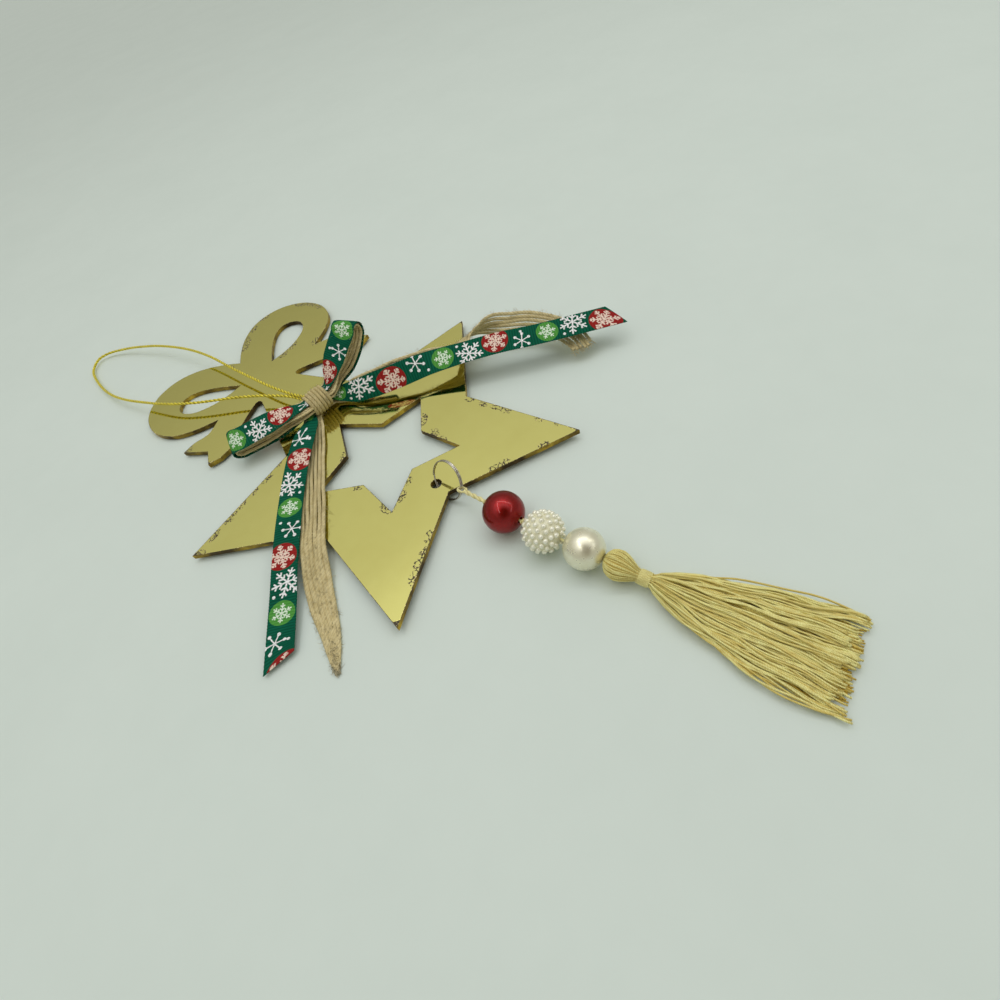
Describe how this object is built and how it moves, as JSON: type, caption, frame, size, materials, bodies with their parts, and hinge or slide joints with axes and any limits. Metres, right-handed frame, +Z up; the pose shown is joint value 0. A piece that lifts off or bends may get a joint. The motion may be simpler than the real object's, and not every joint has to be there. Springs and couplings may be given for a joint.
{
  "type": "hanging star ornament",
  "caption": "Flat mirror-gold star frame with a bow-shaped top, ribbons tied over it, a string of beads with a tassel below, and a thin cord loop to hang it by.",
  "frame": {"origin": "on the floor, under the middle of the footprint of everything but the hanging cord", "axes": "+Y along the star's axis of symmetry, from the tassel towards the bow; +Z up, out of the mirror face; +X to the right as seen from above"},
  "size_m": [0.1816, 0.3739, 0.029],
  "materials": {
    "mirror_sheet": "gold mirror acrylic",
    "green_ribbon": "ribbed grosgrain with a small print",
    "jute_ribbon": "corded natural fibre",
    "ring_wire": "bright wire",
    "string": "twisted thread",
    "red_bead": "metallic gloss",
    "seed_pearls": "tiny pearls",
    "pearl_bead": "ivory pearl gloss",
    "tassel": "soft pale gold thread",
    "binding": "gold thread",
    "cord": "twisted metallic thread"
  },
  "bodies": {
    "root": {"star_plate": "mirror_sheet", "green_ribbon": "green_ribbon", "jute_ribbon": "jute_ribbon", "split_ring": "ring_wire", "bead_string": "string", "red_bead": "red_bead", "pearl_cluster_bead": "seed_pearls", "pearl_bead": "pearl_bead", "tassel": "tassel", "tassel_binding": "binding", "hanging_cord": "cord"}
  },
  "joints": []
}
